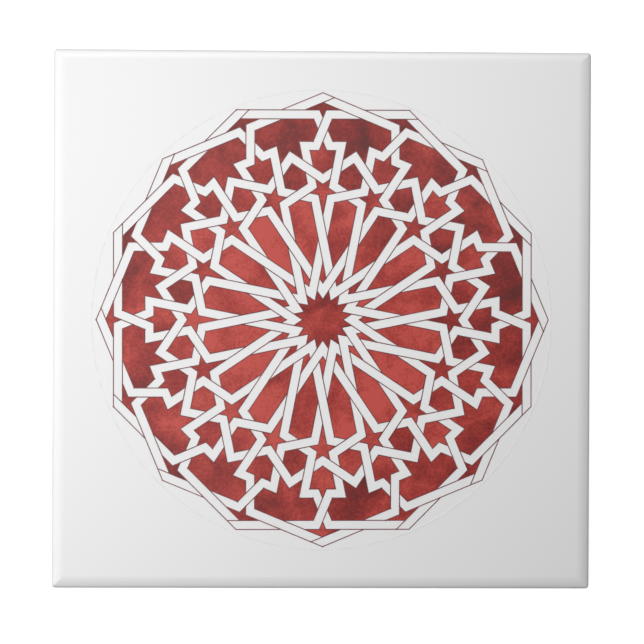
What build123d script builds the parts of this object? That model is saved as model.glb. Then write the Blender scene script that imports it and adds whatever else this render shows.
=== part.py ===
from build123d import *
from math import radians, sin
import os

# Square glazed wall tile, pressed and fired as one piece.
# It lies on its back: +Z points out of the glazed face, the origin is the middle of the back.

# Outline
tile_size = 107.95  # nominal four and a quarter inch square
tile_thickness = 6.0
corner_radius = 0.7  # upright corners, seen from above

# Cushion edge: the face falls away in a shallow crown, then rolls over into the side
crown_width = 2.0
crown_angle = 25.0  # slope where the crown meets the roll
roll_radius = 0.7

# Pressed back: a lattice of ribs that keys into the adhesive
arris_chamfer = 0.4
key_margin = 4.0  # least plain border around the lattice
key_pitch = 14.0
key_rib = 2.6
key_depth = 0.6
key_corner = 1.0
key_draft = 30.0

half_size = tile_size / 2
crown_radius = crown_width / sin(radians(crown_angle))
roll_run = roll_radius * (1 - sin(radians(crown_angle)))
crown_start = half_size - roll_run - crown_width
corner_axis = half_size - corner_radius
key_pocket = key_pitch - key_rib
key_count = int((tile_size - 2 * key_margin + key_rib) // key_pitch)

# Half of the tile's section, from its middle out to its side
with BuildSketch() as half_section:
    with BuildLine():
        face = Line((0, tile_thickness), (crown_start, tile_thickness))
        crown = JernArc(face @ 1, face % 1, crown_radius, -crown_angle)
        roll = JernArc(crown @ 1, crown % 1, roll_radius, crown_angle - 90)
        Polyline(roll @ 1, (half_size, 0), (0, 0), face @ 0)
    make_face()

# The outer strip of that section, which turns round each upright corner
with BuildSketch() as corner_section:
    add(half_section.sketch)
    with Locations((half_size, 0)):
        Rectangle(corner_radius, tile_thickness, align=(Align.MAX, Align.MIN), mode=Mode.INTERSECT)

with BuildPart() as tile:
    # One quarter: what a run along Y and a run along X share is crowned on both outer edges
    with BuildSketch(Plane.XZ):
        add(half_section.sketch)
    extrude(amount=half_size, dir=(0, 1, 0))
    with BuildSketch(Plane.YZ):
        add(half_section.sketch)
    extrude(amount=half_size, dir=(1, 0, 0), mode=Mode.INTERSECT)

    # Its mitred corner gives way to the strip turned about the corner's own axis
    with Locations((half_size, half_size, 0)):
        Box(
            corner_radius,
            corner_radius,
            tile_thickness,
            align=(Align.MAX, Align.MAX, Align.MIN),
            mode=Mode.SUBTRACT,
        )
    with BuildSketch(Plane.XZ.offset(-corner_axis)):
        add(corner_section.sketch)
    revolve(axis=Axis((corner_axis, corner_axis, 0), (0, 0, 1)), revolution_arc=90)

    # The other three quarters
    mirror(about=Plane.YZ)
    mirror(about=Plane.XZ)

    # Arris where the sides meet the back
    chamfer(tile.faces().sort_by(Axis.Z)[0].edges(), arris_chamfer)

    # Pockets between the ribs of the back
    with BuildSketch(Plane.XY):
        with GridLocations(key_pitch, key_pitch, key_count, key_count):
            RectangleRounded(key_pocket, key_pocket, key_corner)
    extrude(amount=key_depth, taper=key_draft, mode=Mode.SUBTRACT)

tile.part.label = "tile"

os.makedirs("parts", exist_ok=True)
export_step(tile.part, "parts/tile.step")
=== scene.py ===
import bpy
import cmath
import math
import random
from mathutils import Matrix, Vector
from mathutils.geometry import delaunay_2d_cdt


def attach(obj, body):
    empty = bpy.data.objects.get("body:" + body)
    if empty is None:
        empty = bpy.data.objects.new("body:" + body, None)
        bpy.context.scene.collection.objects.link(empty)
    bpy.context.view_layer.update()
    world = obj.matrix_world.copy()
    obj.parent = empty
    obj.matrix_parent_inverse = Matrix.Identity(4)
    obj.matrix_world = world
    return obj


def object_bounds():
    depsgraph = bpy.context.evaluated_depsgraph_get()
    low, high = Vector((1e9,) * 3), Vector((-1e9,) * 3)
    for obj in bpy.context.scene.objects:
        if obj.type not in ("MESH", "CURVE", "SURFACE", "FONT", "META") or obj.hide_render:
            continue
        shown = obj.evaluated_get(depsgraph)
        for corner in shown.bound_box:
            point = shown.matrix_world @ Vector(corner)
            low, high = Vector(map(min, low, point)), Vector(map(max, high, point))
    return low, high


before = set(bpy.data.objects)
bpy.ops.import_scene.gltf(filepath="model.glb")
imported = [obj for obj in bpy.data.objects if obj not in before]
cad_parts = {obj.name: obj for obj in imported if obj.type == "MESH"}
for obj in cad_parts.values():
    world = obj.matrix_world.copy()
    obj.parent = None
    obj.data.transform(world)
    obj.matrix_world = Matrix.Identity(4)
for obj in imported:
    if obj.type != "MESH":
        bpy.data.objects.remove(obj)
cadLow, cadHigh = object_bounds()
mm = 0.001
print("tile loaded, %.1f mm square" % ((cadHigh.x - cadLow.x) / mm))


# Small tools

def fromHex(code):
    # sRGB hex to the linear colour that a shader wants
    shares = [int(code[i:i + 2], 16) / 255 for i in (1, 3, 5)]
    linear = [s / 12.92 if s <= 0.04045 else ((s + 0.055) / 1.055) ** 2.4 for s in shares]
    return (*linear, 1.0)


def addNode(tree, kind, settings=None, inputs=None):
    # one node, its settings, and its inputs as values or as sockets to link
    node = tree.nodes.new(kind)
    for name, value in (settings or {}).items():
        setattr(node, name, value)
    for name, value in (inputs or {}).items():
        if isinstance(value, bpy.types.NodeSocket):
            tree.links.new(value, node.inputs[name])
        else:
            node.inputs[name].default_value = value
    return node


def newMaterial(name):
    material = bpy.data.materials.new(name)
    material.use_nodes = True
    material.node_tree.nodes.clear()
    return material, material.node_tree


def perFeature(sizeMm):
    # noise scale that gives features of about this size, on coordinates in metres
    return 1 / (sizeMm * mm)


# Rosette: sixteen straps and a zigzag ring, woven over and under.
# Drawn flat in mm as complex numbers, x right and y up, angles clockwise from the top.

rosette = {
    "points": 16,
    "radius": 45.44,  # outer points of the strapwork
    "strap": 1.80,  # strap width, from ink line to ink line
    "knee": 38.07,  # where straps cross below each outer point
    "shelf": 34.79,  # level run above each shield cell
    "petalHalf": 3.165,  # from a petal's own axis to the straps beside it
    "petalTop": 25.40,  # where straps cross at the head of a petal
    "ringLow": 28.22,  # inner bends of the zigzag ring
    "squeeze": 0.996,  # the print is a hair narrower than it is high
    "offset": 0.13 - 0.045j,  # it isn't quite in the middle of the tile
    "turn": -0.22,  # nor quite square to it, degrees clockwise
}
sector = 360 / rosette["points"]
halfStrap = rosette["strap"] / 2
printSpan = 2.1 * rosette["radius"]  # mm, a square that holds the whole print
parallel = 1e-9  # runs that turn less than this against each other don't cross
sliver = 1e-6  # shortest share of an edge that counts as showing
weld = 1e-5  # mm, points closer than this become one


def heading(degrees):
    return 1j * cmath.rect(1, -math.radians(degrees))


def turned(value, sectors):
    return value * cmath.rect(1, -math.radians(sector * sectors))


def cross(a, b):
    return (a.conjugate() * b).imag


def meet(lineA, lineB):
    (p, d), (q, e) = lineA, lineB
    return p + d * cross(q - p, e) / cross(d, e)


def beside(line, distance):
    # the same line moved to its left
    point, direction = line
    return point + 1j * direction * distance, direction


def mirrored(line, axisDegrees):
    axis = heading(axisDegrees)
    point, direction = line
    return axis * axis * point.conjugate(), axis * axis * direction.conjugate()


def strapLines():
    # centre lines of one strap, from an outer point in to its tip by the centre and out again
    chord = rosette["radius"] * math.cos(math.radians(sector)) - halfStrap
    petalAxis = heading(sector / 2)
    toLeft = 1j * petalAxis
    inward = [
        (1j * chord, heading(4 * sector)),
        (1j * rosette["knee"], heading(7 * sector)),
        (1j * rosette["shelf"], heading(4 * sector)),
        (toLeft * rosette["petalHalf"], heading(8.5 * sector)),
        (petalAxis * rosette["petalTop"], heading(5.5 * sector)),
        (-toLeft * rosette["petalHalf"], heading(8.5 * sector)),
    ]
    outward = []
    for line in reversed(inward):
        point, direction = mirrored(line, 2 * sector)
        outward.append((point, -direction))
    return inward + outward


def strapSides():
    # both edges of one strap
    # at an outer point, the strap that ends there lies on the one that starts there
    lines = strapLines()
    endsHere = tuple(turned(value, -6) for value in lines[-1])
    startsThere = tuple(turned(value, 6) for value in lines[0])
    startCut = beside(endsHere, -halfStrap)
    endCut = beside(startsThere, halfStrap)
    sides = []
    for distance in (halfStrap, -halfStrap):
        edges = [beside(line, distance) for line in lines]
        corners = [meet(a, b) for a, b in zip(edges, edges[1:])]
        sides.append([meet(edges[0], startCut)] + corners + [meet(edges[-1], endCut)])
    return sides


def ringSides():
    # both edges of the zigzag ring, a closed chain of bends
    lines = []
    for k in range(rosette["points"]):
        low = heading(sector * k) * rosette["ringLow"]
        lines.append((low, -heading(sector * (k - 2.5))))
        lines.append((low, heading(sector * (k + 2.5))))
    sides = []
    for distance in (halfStrap, -halfStrap):
        edges = [beside(line, distance) for line in lines]
        sides.append([meet(edges[i - 1], edges[i]) for i in range(len(edges))])
    return sides


def makeRun(strap, corners):
    # one straight stretch of strap: right start, right end, left end, left start
    return {
        "strap": strap,
        "corners": corners,
        "start": (corners[0] + corners[3]) / 2,
        "end": (corners[1] + corners[2]) / 2,
        "covers": [],
    }


def crossingShare(run, other):
    # how far along a run its centre line crosses another's, or None
    along = run["end"] - run["start"]
    across = other["end"] - other["start"]
    between = other["start"] - run["start"]
    turn = cross(along, across)
    if abs(turn) < parallel:
        return None
    share = cross(between, across) / turn
    otherShare = cross(between, along) / turn
    if 0 < share < 1 and 0 < otherShare < 1:
        return share
    return None


def weave():
    # every run of strap, each with the runs that lie over it
    left, right = strapSides()
    runs = []
    for k in range(rosette["points"]):
        for i in range(len(left) - 1):
            corners = (right[i], right[i + 1], left[i + 1], left[i])
            runs.append(makeRun(k, [turned(c, k) for c in corners]))
    ringLeft, ringRight = ringSides()
    for i in range(len(ringLeft)):
        corners = [ringRight[i - 1], ringRight[i], ringLeft[i], ringLeft[i - 1]]
        runs.append(makeRun("ring", corners))
    for k in range(rosette["points"]):
        passes = []
        for place, run in enumerate(r for r in runs if r["strap"] == k):
            for other in runs:
                share = crossingShare(run, other) if other["strap"] != k else None
                if share is not None:
                    passes.append((place + share, run, other))
        passes.sort(key=lambda found: found[0])
        for order, (_, run, other) in enumerate(passes):  # over first, then under, and so on
            if order % 2:
                run["covers"].append(other["corners"])
            elif other["strap"] == "ring":
                other["covers"].append(run["corners"])
    return runs


def hiddenSpan(a, b, corners):
    # the stretch of a to b that lies inside four corners, as two shares, or None
    low, high = 0.0, 1.0
    for i in range(4):
        side = corners[i] - corners[i - 1]
        depthA = cross(side, a - corners[i - 1])
        depthB = cross(side, b - corners[i - 1])
        if depthA < 0 and depthB < 0:
            return None
        if depthA < 0:
            low = max(low, depthA / (depthA - depthB))
        elif depthB < 0:
            high = min(high, depthA / (depthA - depthB))
    return (low, high) if low < high else None


def inkedLines(runs):
    # the strap edges that show, as pairs of points
    lines = []
    for run in runs:
        rightStart, rightEnd, leftEnd, leftStart = run["corners"]
        for a, b in ((leftStart, leftEnd), (rightStart, rightEnd)):
            shown = [(0.0, 1.0)]
            for corners in run["covers"]:
                hidden = hiddenSpan(a, b, corners)
                if hidden is None:
                    continue
                pieces = [(low, min(high, hidden[0])) for low, high in shown]
                pieces += [(max(low, hidden[1]), high) for low, high in shown]
                shown = [(low, high) for low, high in pieces if high - low > sliver]
            lines += [(a + (b - a) * low, a + (b - a) * high) for low, high in shown]
    left, right = strapSides()
    for k in range(rosette["points"]):  # the cut end of each strap, at its outer point
        lines.append((turned(left[-1], k), turned(right[-1], k)))
    return lines


def flatMesh(outlines):
    # points and triangles of overlapping flat outlines, and the outlines that hold each triangle
    points = []
    faces = []
    for outline in outlines:
        faces.append(range(len(points), len(points) + len(outline)))
        points += [Vector((z.real, z.imag)) for z in outline]
    found = delaunay_2d_cdt(points, [], [list(face) for face in faces], 0, weld)
    return [complex(p.x, p.y) for p in found[0]], found[2], found[5]


def edgesOf(triangle):
    return [tuple(sorted((triangle[i - 1], triangle[i]))) for i in range(3)]


def cellsBetween(runs):
    # what the straps leave open, as groups of triangles, with the ground outside left out
    points, triangles, holders = flatMesh([run["corners"] for run in runs])
    users = {}
    for index, triangle in enumerate(triangles):
        for edge in edgesOf(triangle):
            users.setdefault(edge, []).append(index)
    left = {index for index, holder in enumerate(holders) if not holder}
    cells = []
    while left:
        group = []
        waiting = [left.pop()]
        outside = False
        while waiting:
            index = waiting.pop()
            group.append(triangles[index])
            for edge in edgesOf(triangles[index]):
                outside = outside or len(users[edge]) == 1
                for neighbour in users[edge]:
                    if neighbour in left:
                        left.remove(neighbour)
                        waiting.append(neighbour)
        if not outside:
            cells.append(group)
    return points, cells


def middleOf(points, triangles):
    areas = []
    sums = []
    for a, b, c in triangles:
        area = abs(cross(points[b] - points[a], points[c] - points[a]))
        areas.append(area)
        sums.append(area * (points[a] + points[b] + points[c]) / 3)
    return sum(sums) / sum(areas)


def onTile(point):
    drawn = point * cmath.rect(1, -math.radians(rosette["turn"]))
    return complex(drawn.real * rosette["squeeze"], drawn.imag) + rosette["offset"]


def fireOn(name, points, triangles, sunk, proud):
    # a thin closed film on the glazed face, from points on the tile in mm
    used = sorted({corner for triangle in triangles for corner in triangle})
    place = {corner: i for i, corner in enumerate(used)}
    count = len(used)
    top = cadHigh.z + proud * mm
    bottom = cadHigh.z - sunk * mm
    flat = [points[corner] * mm for corner in used]
    vertices = [(z.real, z.imag, top) for z in flat] + [(z.real, z.imag, bottom) for z in flat]
    upper = [[place[corner] for corner in triangle] for triangle in triangles]
    lower = [[corner + count for corner in reversed(triangle)] for triangle in upper]
    directed = {(t[i - 1], t[i]) for t in upper for i in range(3)}
    walls = [(b, a, a + count, b + count) for a, b in sorted(directed) if (b, a) not in directed]
    mesh = bpy.data.meshes.new(name)
    mesh.from_pydata(vertices, [], upper + lower + walls)
    uvLayer = mesh.uv_layers.new(name="OFBake")  # straight down on the print
    span = printSpan * mm
    for loop in mesh.loops:
        x, y, _ = mesh.vertices[loop.vertex_index].co
        uvLayer.data[loop.index].uv = (x / span + 0.5, y / span + 0.5)
    piece = bpy.data.objects.new(name, mesh)
    bpy.context.scene.collection.objects.link(piece)
    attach(piece, "root")
    return piece, len(upper), len(walls)


straps = weave()
print("rosette drawn, %d straight runs of strap" % len(straps))


# Red wash in the cells between the straps

wash = {
    "sunk": 0.02,
    "proud": 0.03,
    "seed": 16,
    "tones": (  # how much maroon there is, 0 to 1, in cells out to each share of the radius
        (0.10, 0.42),  # middle star
        (0.50, 0.20),  # petals and the slivers between them
        (0.58, 0.26),  # small stars
        (0.67, 0.46),  # hexagons
        (0.75, 0.33),  # shields
        (0.88, 0.51),  # big outer cells
        (1.00, 0.62),  # arrowheads
    ),
    "toneSpread": 0.14,
    "lean": 0.165,  # how much heavier the wash is on one side of the tile
    "leanTo": 10.0,  # degrees clockwise from the top, where it is heaviest
    "bright": "#C24B42",
    "body": "#A33029",
    "maroon": "#7B1510",
    "deep": "#540807",
    "bodyStop": 0.35,  # depth of wash that gives the body red
    "maroonStop": 0.70,
    "cloud": 9.0,  # mm, pools of pigment
    "cloudTwist": 0.5,
    "cloudShare": 1.8,  # how much the pools change the depth of the wash
    "streak": 2.0,  # mm, brush marks
    "streakShare": 0.45,
    "grain": 0.5,  # mm, pigment grain, coarser than the real one so that it shows
    "grainShare": 0.60,
}


def ringOrder(middle):
    # from the centre out, and round each ring of cells
    return round(abs(middle), 2), cmath.phase(middle)


def makeWash():
    points, cells = cellsBetween(straps)
    cells.sort(key=lambda cell: ringOrder(middleOf(points, cell)))
    dice = random.Random(wash["seed"])
    triangles = [triangle for cell in cells for triangle in cell]
    placed = [onTile(point) for point in points]
    film = fireOn("rosette_wash", placed, triangles, wash["sunk"], wash["proud"])
    piece, topCount, wallCount = film
    tones = []
    shifts = []
    for cell in cells:
        middle = middleOf(points, cell) / rosette["radius"]
        tone = next(tone for limit, tone in wash["tones"] if abs(middle) < limit)
        tone += (middle / heading(wash["leanTo"])).real * wash["lean"]
        tone += dice.uniform(-1, 1) * wash["toneSpread"]
        shift = [dice.uniform(-1, 1) for _ in range(3)]
        tones += [tone] * len(cell)
        shifts += [shift] * len(cell)
    wallTone = wash["tones"][-1][1]
    toneData = piece.data.attributes.new("washTone", "FLOAT", "FACE").data
    shiftData = piece.data.attributes.new("washShift", "FLOAT_VECTOR", "FACE").data
    for i in range(2 * topCount):
        toneData[i].value = tones[i % topCount]
        shiftData[i].vector = shifts[i % topCount]
    for i in range(2 * topCount, 2 * topCount + wallCount):
        toneData[i].value = wallTone
    print("wash fired on, %d cells" % len(cells))
    return piece


def washMaterial():
    # ceramic stain under clear glaze, washed on by brush:
    # clouds from bright red to deep maroon, with a soft grain
    material, tree = newMaterial("maroon stain under clear glaze")
    place = addNode(tree, "ShaderNodeTexCoord")
    shift = addNode(tree, "ShaderNodeAttribute", {"attribute_name": "washShift"})
    tone = addNode(tree, "ShaderNodeAttribute", {"attribute_name": "washTone"})
    spot = addNode(
        tree,
        "ShaderNodeVectorMath",
        {"operation": "ADD"},
        {0: place.outputs["Object"], 1: shift.outputs["Vector"]},
    )
    cloud = addNode(
        tree,
        "ShaderNodeTexNoise",
        {},
        {
            "Vector": spot.outputs[0],
            "Scale": perFeature(wash["cloud"]),
            "Detail": 3.0,
            "Distortion": wash["cloudTwist"],
        },
    )
    streak = addNode(
        tree,
        "ShaderNodeTexNoise",
        {},
        {"Vector": spot.outputs[0], "Scale": perFeature(wash["streak"]), "Detail": 2.0},
    )
    grain = addNode(
        tree,
        "ShaderNodeTexNoise",
        {},
        {"Vector": spot.outputs[0], "Scale": perFeature(wash["grain"]), "Detail": 1.0},
    )
    depth = tone.outputs["Fac"]
    sources = ((cloud, "cloudShare"), (streak, "streakShare"), (grain, "grainShare"))
    for source, shareName in sources:
        centred = addNode(
            tree,
            "ShaderNodeMath",
            {"operation": "SUBTRACT"},
            {0: source.outputs["Fac"], 1: 0.5},
        )
        added = addNode(
            tree,
            "ShaderNodeMath",
            {"operation": "MULTIPLY_ADD"},
            {0: centred.outputs[0], 1: wash[shareName], 2: depth},
        )
        depth = added.outputs[0]
    ramp = addNode(tree, "ShaderNodeValToRGB", {}, {"Fac": depth})
    stops = ramp.color_ramp.elements
    stops[0].position = 0.0
    stops[0].color = fromHex(wash["bright"])
    stops[1].position = 1.0
    stops[1].color = fromHex(wash["deep"])
    for name in ("body", "maroon"):
        stops.new(wash[name + "Stop"]).color = fromHex(wash[name])
    shader = addNode(
        tree,
        "ShaderNodeBsdfPrincipled",
        {},
        {"Base Color": ramp.outputs["Color"], "Roughness": glaze["roughness"], "IOR": glaze["ior"]},
    )
    addNode(tree, "ShaderNodeOutputMaterial", {}, {"Surface": shader.outputs[0]})
    return material


# Ink lines along the strap edges

ink = {
    "sunk": 0.02,
    "proud": 0.045,
    "width": 0.185,
    "seed": 5,
    "restShare": 0.4,  # of the line ends, where the pen rested and left a dot
    "restSize": 0.17,
    "dark": "#5F2128",
    "thin": "#834649",  # where the pen ran lighter
    "pressure": 4.0,  # mm, length over which the pen's pressure changes
    "darkStop": 0.35,  # noise below this is a full line
    "thinStop": 0.70,  # and above this a thin one
}


def makeInk():
    outlines = []
    half = ink["width"] / 2
    dice = random.Random(ink["seed"])
    for a, b in inkedLines(straps):
        along = (b - a) / abs(b - a) * half
        out = 1j * along
        outlines.append((a - along - out, b + along - out, b + along + out, a - along + out))
        if dice.random() < ink["restShare"]:
            outlines.append([b + heading(-45 * i) * ink["restSize"] for i in range(8)])
    points, triangles, holders = flatMesh(outlines)
    kept = [triangle for triangle, holder in zip(triangles, holders) if holder]
    placed = [onTile(point) for point in points]
    piece = fireOn("rosette_ink", placed, kept, ink["sunk"], ink["proud"])[0]
    print("ink fired on, %d lines and dots" % len(outlines))
    return piece


def inkMaterial():
    # ceramic ink, drawn with a pen and fired in: dark maroon brown, paler where the line is thin
    material, tree = newMaterial("fired maroon-brown ink")
    place = addNode(tree, "ShaderNodeTexCoord")
    pressure = addNode(
        tree,
        "ShaderNodeTexNoise",
        {},
        {"Vector": place.outputs["Object"], "Scale": perFeature(ink["pressure"]), "Detail": 1.0},
    )
    ramp = addNode(tree, "ShaderNodeValToRGB", {}, {"Fac": pressure.outputs["Fac"]})
    stops = ramp.color_ramp.elements
    stops[0].position = ink["darkStop"]
    stops[0].color = fromHex(ink["dark"])
    stops[1].position = ink["thinStop"]
    stops[1].color = fromHex(ink["thin"])
    shader = addNode(
        tree,
        "ShaderNodeBsdfPrincipled",
        {},
        {"Base Color": ramp.outputs["Color"], "Roughness": glaze["roughness"], "IOR": glaze["ior"]},
    )
    addNode(tree, "ShaderNodeOutputMaterial", {}, {"Surface": shader.outputs[0]})
    return material


# Faint compass circle round the rosette, left from setting out

pencil = {
    "sunk": 0.02,
    "proud": 0.03,
    "radius": 46.0,
    "middle": -0.07 - 0.10j,  # on the tile, a little off the rosette's own
    "width": 0.22,
    "steps": 240,  # straight bits in the circle
    "lead": "#E6E5E3",
    "fade": 2.0,  # mm, length over which the line comes and goes
    "wornFrom": 0.36,  # noise below this is whole line
    "wornTo": 0.62,  # and above this it is worn away
}


def makePencil():
    count = pencil["steps"]
    ways = [heading(360 * i / count) for i in range(count)]
    inner = pencil["radius"] - pencil["width"] / 2
    outer = pencil["radius"] + pencil["width"] / 2
    points = [way * reach + pencil["middle"] for reach in (inner, outer) for way in ways]
    triangles = []
    for i in range(count):
        following = (i + 1) % count
        triangles.append((following, count + following, i))
        triangles.append((count + following, count + i, i))
    piece = fireOn("compass_circle", points, triangles, pencil["sunk"], pencil["proud"])[0]
    print("compass circle fired on, %d steps" % count)
    return piece


def pencilMaterial():
    # pencil line under the glaze: hardly darker than the white, and worn away in places
    material, tree = newMaterial("pencil line under clear glaze")
    place = addNode(tree, "ShaderNodeTexCoord")
    worn = addNode(
        tree,
        "ShaderNodeTexNoise",
        {},
        {
            "Vector": place.outputs["Object"],
            "Scale": perFeature(pencil["fade"]),
            "Detail": 3.0,
            "Roughness": 0.6,
        },
    )
    share = addNode(
        tree,
        "ShaderNodeMapRange",
        {},
        {
            "Value": worn.outputs["Fac"],
            "From Min": pencil["wornFrom"],
            "From Max": pencil["wornTo"],
        },
    )
    colour = addNode(
        tree,
        "ShaderNodeMix",
        {"data_type": "RGBA"},
        {0: share.outputs["Result"], 6: fromHex(pencil["lead"]), 7: fromHex(glaze["white"])},
    )
    shader = addNode(
        tree,
        "ShaderNodeBsdfPrincipled",
        {},
        {"Base Color": colour.outputs[2], "Roughness": glaze["roughness"], "IOR": glaze["ior"]},
    )
    addNode(tree, "ShaderNodeOutputMaterial", {}, {"Surface": shader.outputs[0]})
    return material


# Glazed body

glaze = {
    "white": "#F2F2F2",
    "roughness": 0.30,
    "ior": 1.40,  # a little under glass, so that less white lies over the reds
    "lineHeight": 1.7,  # mm above the back, where the glaze ends on the sides
    "lineSoft": 0.1,  # mm, half of the height over which it thins out
    "lineWander": 1.1,  # mm, how far that line strays
    "wanderLength": 9.0,  # mm, along the side
    "rimShade": "#DBDBDA",  # painted shade along the rolled edge, where the glaze also runs thin
    "rimShadeStart": 0.26,  # mm below the face
    "rimShadeFull": 0.59,
    "ripple": 6.0,  # mm, slow unevenness of the fired surface
    "rippleDepth": 0.004,  # mm
    "biscuit": "#DDD2C0",
    "biscuitDark": "#C6B8A2",
    "biscuitRoughness": 0.85,
    "biscuitGrain": 0.35,  # mm
    "grainDepth": 0.02,  # mm
}


def bodyMaterial():
    # white glaze on pressed earthenware: satin and even on the face, with painted shade on the
    # rolled edge, matt cream biscuit below a ragged glaze line
    material, tree = newMaterial("white glazed earthenware")
    place = addNode(tree, "ShaderNodeTexCoord")
    spot = place.outputs["Object"]
    axes = addNode(tree, "ShaderNodeSeparateXYZ", {}, {0: spot})
    wander = addNode(
        tree,
        "ShaderNodeTexNoise",
        {},
        {"Vector": spot, "Scale": perFeature(glaze["wanderLength"]), "Detail": 3.0},
    )
    lineDepth = glaze["lineWander"] * mm
    strayed = addNode(
        tree,
        "ShaderNodeMath",
        {"operation": "MULTIPLY_ADD"},
        {0: wander.outputs["Fac"], 1: 2 * lineDepth, 2: axes.outputs["Z"]},
    )
    middle = glaze["lineHeight"] * mm + lineDepth
    glazed = addNode(
        tree,
        "ShaderNodeMapRange",
        {"interpolation_type": "SMOOTHSTEP"},
        {
            "Value": strayed.outputs[0],
            "From Min": middle - glaze["lineSoft"] * mm,
            "From Max": middle + glaze["lineSoft"] * mm,
        },
    )
    cover = glazed.outputs["Result"]
    grain = addNode(
        tree,
        "ShaderNodeTexNoise",
        {},
        {"Vector": spot, "Scale": perFeature(glaze["biscuitGrain"]), "Detail": 3.0},
    )
    biscuit = addNode(
        tree,
        "ShaderNodeMix",
        {"data_type": "RGBA"},
        {0: grain.outputs["Fac"], 6: fromHex(glaze["biscuit"]), 7: fromHex(glaze["biscuitDark"])},
    )
    # painted shade: a grey that darkens the glaze over the rolled edge, where the glaze also runs
    # thin
    thin = addNode(
        tree,
        "ShaderNodeMapRange",
        {"interpolation_type": "SMOOTHSTEP"},
        {
            "Value": axes.outputs["Z"],
            "From Min": cadHigh.z - glaze["rimShadeFull"] * mm,
            "From Max": cadHigh.z - glaze["rimShadeStart"] * mm,
            "To Min": 1.0,
            "To Max": 0.0,
        },
    )
    white = addNode(
        tree,
        "ShaderNodeMix",
        {"data_type": "RGBA"},
        {0: thin.outputs["Result"], 6: fromHex(glaze["white"]), 7: fromHex(glaze["rimShade"])},
    )
    colour = addNode(
        tree,
        "ShaderNodeMix",
        {"data_type": "RGBA"},
        {0: cover, 6: biscuit.outputs[2], 7: white.outputs[2]},
    )
    roughness = addNode(
        tree,
        "ShaderNodeMapRange",
        {},
        {"Value": cover, "To Min": glaze["biscuitRoughness"], "To Max": glaze["roughness"]},
    )
    ripple = addNode(
        tree,
        "ShaderNodeTexNoise",
        {},
        {"Vector": spot, "Scale": perFeature(glaze["ripple"]), "Detail": 1.0},
    )
    relief = addNode(
        tree,
        "ShaderNodeMix",
        {"data_type": "FLOAT"},
        {0: cover, 2: grain.outputs["Fac"], 3: ripple.outputs["Fac"]},
    )
    reliefDepth = addNode(
        tree,
        "ShaderNodeMapRange",
        {},
        {"Value": cover, "To Min": glaze["grainDepth"] * mm, "To Max": glaze["rippleDepth"] * mm},
    )
    height = addNode(
        tree,
        "ShaderNodeMath",
        {"operation": "MULTIPLY"},
        {0: relief.outputs[0], 1: reliefDepth.outputs["Result"]},
    )
    bump = addNode(tree, "ShaderNodeBump", {}, {"Height": height.outputs[0], "Distance": 1.0})
    shader = addNode(
        tree,
        "ShaderNodeBsdfPrincipled",
        {},
        {
            "Base Color": colour.outputs[2],
            "Roughness": roughness.outputs["Result"],
            "IOR": glaze["ior"],
            "Normal": bump.outputs["Normal"],
        },
    )
    addNode(tree, "ShaderNodeOutputMaterial", {}, {"Surface": shader.outputs[0]})
    return material


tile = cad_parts["tile"]
tile.data.materials.clear()
tile.data.materials.append(bodyMaterial())
makeWash().data.materials.append(washMaterial())
makeInk().data.materials.append(inkMaterial())
makePencil().data.materials.append(pencilMaterial())


# Floor, light and camera

stage = {
    "floorSize": 1.0,  # m, small enough that its far edge is still well lit
    "floorColour": "#E6E6E6",
    "floorGlow": 0.775,  # what the camera sees added, so that the floor reads as white paper
    "surroundColour": "#FFFFFF",
    "surround": 0.1375,  # level of the soft light from all round
    "softboxes": {
        "softbox_left": {"place": (-0.149, -0.017, 0.150), "size": (0.21, 0.36), "level": 1.39},
        "softbox_top": {"place": (-0.100, 0.296, 0.314), "size": (0.43, 0.10), "level": 6.8},
        "softbox_over": {"place": (0.007, 0.063, 0.200), "size": (0.18, 0.06), "level": 1.23},
    },
}


def seenDirectly(tree):
    # 1 for rays from the camera, a reflection or a clear body, 0 for light that falls on things
    path = addNode(tree, "ShaderNodeLightPath")
    total = path.outputs["Is Camera Ray"]
    for name in ("Is Glossy Ray", "Is Transmission Ray"):
        added = addNode(
            tree,
            "ShaderNodeMath",
            {"operation": "ADD", "use_clamp": True},
            {0: total, 1: path.outputs[name]},
        )
        total = added.outputs[0]
    return total


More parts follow.
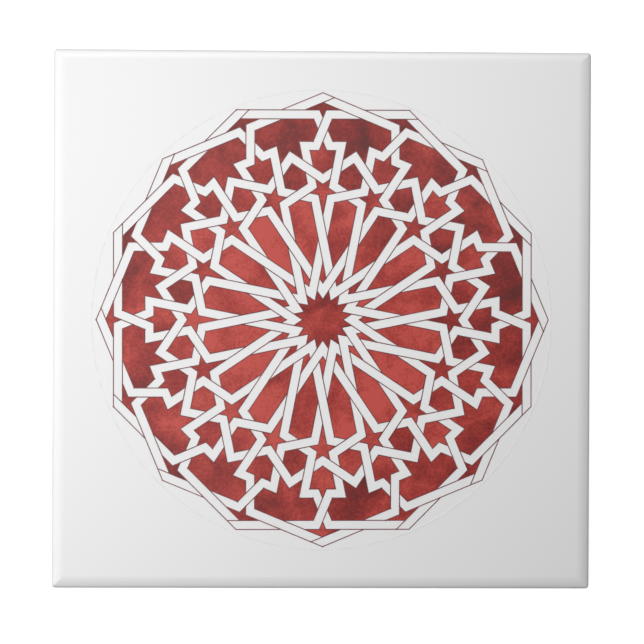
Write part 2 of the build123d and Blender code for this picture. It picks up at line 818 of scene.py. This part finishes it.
def makeFloor():
    half = stage["floorSize"] / 2
    mesh = bpy.data.meshes.new("floor")
    corners = [(-half, -half, 0), (half, -half, 0), (half, half, 0), (-half, half, 0)]
    mesh.from_pydata(corners, [], [(0, 1, 2, 3)])
    floor = bpy.data.objects.new("floor", mesh)
    bpy.context.scene.collection.objects.link(floor)
    floor.location.z = cadLow.z
    material, tree = newMaterial("white paper")
    paper = addNode(tree, "ShaderNodeBsdfDiffuse", {}, {"Color": fromHex(stage["floorColour"])})
    strength = addNode(
        tree,
        "ShaderNodeMath",
        {"operation": "MULTIPLY"},
        {0: seenDirectly(tree), 1: stage["floorGlow"]},
    )
    glow = addNode(tree, "ShaderNodeEmission", {}, {"Strength": strength.outputs[0]})
    both = addNode(tree, "ShaderNodeAddShader", {}, {0: paper.outputs[0], 1: glow.outputs[0]})
    addNode(tree, "ShaderNodeOutputMaterial", {}, {"Surface": both.outputs[0]})
    mesh.materials.append(material)


def makeLight():
    world = bpy.data.worlds.new("studio")
    bpy.context.scene.world = world
    world.use_nodes = True
    tree = world.node_tree
    tree.nodes.clear()
    strength = addNode(
        tree,
        "ShaderNodeMapRange",
        {},
        {"Value": seenDirectly(tree), "To Min": stage["surround"], "To Max": 1.0},
    )
    background = addNode(
        tree,
        "ShaderNodeBackground",
        {},
        {"Color": fromHex(stage["surroundColour"]), "Strength": strength.outputs["Result"]},
    )
    addNode(tree, "ShaderNodeOutputWorld", {}, {"Surface": background.outputs[0]})
    for name, softbox in stage["softboxes"].items():
        lamp = bpy.data.lights.new(name, "AREA")
        lamp.shape = "RECTANGLE"
        lamp.size, lamp.size_y = softbox["size"]
        area = lamp.size * lamp.size_y
        lamp.energy = softbox["level"] * math.pi * area  # watts for that brightness
        holder = bpy.data.objects.new(name, lamp)
        bpy.context.scene.collection.objects.link(holder)
        holder.location = softbox["place"]
        holder.rotation_euler = (-holder.location).to_track_quat("-Z", "Y").to_euler()
        holder.visible_camera = False


view = {
    "lens": 85.0,  # mm
    "sensor": 36.0,  # mm
    "place": (-5.6, 0.0, 310.4),  # mm, almost straight above the tile
    "aim": (0.0, -0.5, 5.0),
    "roll": -0.27,  # degrees
}


def makeCamera():
    camera = bpy.data.objects.new("camera", bpy.data.cameras.new("camera"))
    camera.data.lens = view["lens"]
    camera.data.sensor_width = view["sensor"]
    place = Vector(view["place"]) * mm
    back = (place - Vector(view["aim"]) * mm).normalized()
    roll = math.radians(view["roll"])
    right = Vector((math.sin(roll), math.cos(roll), 0)).cross(back).normalized()
    up = back.cross(right)
    bpy.context.scene.collection.objects.link(camera)
    turn = Matrix((right, up, back)).transposed().to_4x4()
    camera.matrix_world = Matrix.Translation(place) @ turn
    bpy.context.scene.camera = camera


makeFloor()
makeLight()
makeCamera()
bpy.context.scene.view_settings.view_transform = "Standard"
print("floor, light and camera set")
